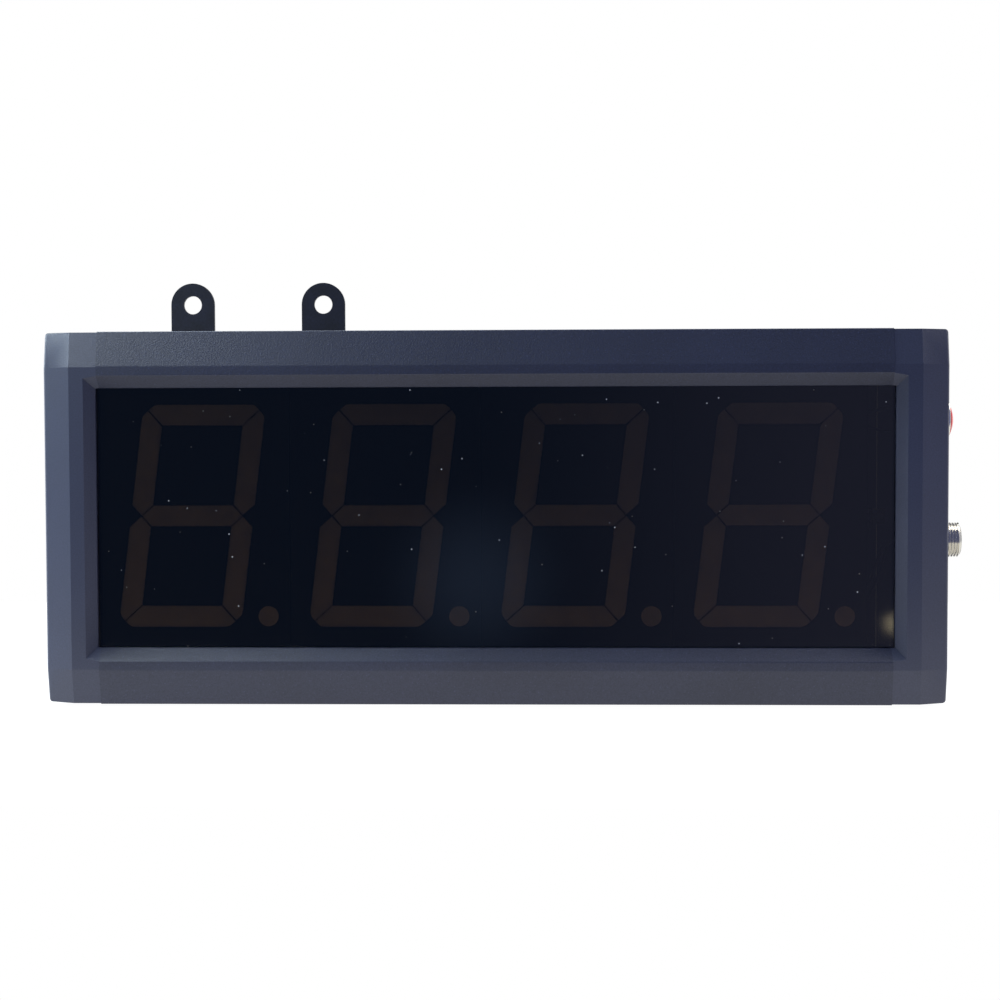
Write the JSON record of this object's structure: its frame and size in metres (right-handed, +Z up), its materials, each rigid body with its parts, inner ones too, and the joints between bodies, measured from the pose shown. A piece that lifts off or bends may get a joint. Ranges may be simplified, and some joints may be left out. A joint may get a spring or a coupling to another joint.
{
  "type": "gym round timer",
  "caption": "Wall-hung gym round timer: smoked window over large slanted seven-segment digits, metal rails, moulded end caps, sliding hanging lugs, side push button and socket.",
  "frame": {"origin": "centre of the back face, which faces the wall", "axes": "+X to the reader's right along the rails, +Y towards the wall, +Z up; the window faces -Y"},
  "size_m": [0.4182, 0.045, 0.1939],
  "materials": {
    "black_oxide_steel": "black oxide",
    "black_plastic": "satin",
    "capacitor_sleeve": "shrink sleeve",
    "ceramic_chip": "fired ceramic",
    "chip_plastic": "moulded epoxy",
    "circuit_board": "green solder mask",
    "galvanised_sheet": "black powder-coated steel sheet",
    "header_nylon": "natural nylon",
    "lead_insulation_black": "satin PVC",
    "module_housing": "matt black face",
    "moulded_abs": "fine moulded grain",
    "nickel_brass": "nickel plated",
    "powder_coated_aluminium": "textured black powder coat",
    "powder_coated_steel": "black powder coat",
    "red_plastic": "glossy",
    "segment_epoxy": "unlit diffusing epoxy",
    "smoked_acrylic": "polished smoked sheet",
    "spring_steel": "drawn wire",
    "tinned_metal": "tin plated",
    "zinc_steel": "zinc plated"
  },
  "bodies": {
    "case": {"top_rail": "powder_coated_aluminium", "bottom_rail": "powder_coated_aluminium", "left_end_cap": "moulded_abs", "right_end_cap": "moulded_abs", "window_pane": "smoked_acrylic", "back_panel": "galvanised_sheet", "display_board": "circuit_board", "digit_pins": "tinned_metal", "controller_chip": "chip_plastic", "driver_chips": "chip_plastic", "crystal": "tinned_metal", "capacitors": "capacitor_sleeve", "voltage_regulator": "chip_plastic", "resistors": "ceramic_chip", "buzzer": "chip_plastic", "power_header": "header_nylon", "button_header": "header_nylon", "ir_receiver": "chip_plastic", "cap_screws": "black_oxide_steel", "back_panel_screws": "black_oxide_steel", "button_body": "nickel_brass", "button_spring": "spring_steel", "button_nut": "nickel_brass", "button_washer": "zinc_steel", "button_terminals": "tinned_metal", "socket_shell": "nickel_brass", "socket_insert": "black_plastic", "socket_pins": "tinned_metal", "socket_nut": "nickel_brass", "socket_washer": "zinc_steel", "power_leads": "lead_insulation_black", "button_leads": "lead_insulation_black", "digit_module_1": "module_housing", "digit_segments_1": "segment_epoxy", "digit_module_2": "module_housing", "digit_segments_2": "segment_epoxy", "digit_module_3": "module_housing", "digit_segments_3": "segment_epoxy", "digit_module_4": "module_housing", "digit_segments_4": "segment_epoxy"},
    "button": {"button_cap": "red_plastic", "button_plunger": "black_plastic"},
    "left_lug": {"left_hanging_lug": "powder_coated_steel", "left_lug_screw": "black_oxide_steel"},
    "right_lug": {"right_hanging_lug": "powder_coated_steel", "right_lug_screw": "black_oxide_steel"}
  },
  "joints": [
    {"name": "start_button_press", "type": "slide", "parent": "case", "child": "button", "axis": [-1, 0, 0], "range_m": [0, 0.003], "stiffness_N_per_m": 600, "springref_m": -0.0015, "deforming": ["button_spring"]},
    {"name": "left_lug_slide", "type": "slide", "parent": "case", "child": "left_lug", "axis": [1, 0, 0], "range_m": [-0.0265, 0.0204]},
    {"name": "right_lug_slide", "type": "slide", "parent": "case", "child": "right_lug", "axis": [1, 0, 0], "range_m": [-0.0204, 0.2498]}
  ]
}
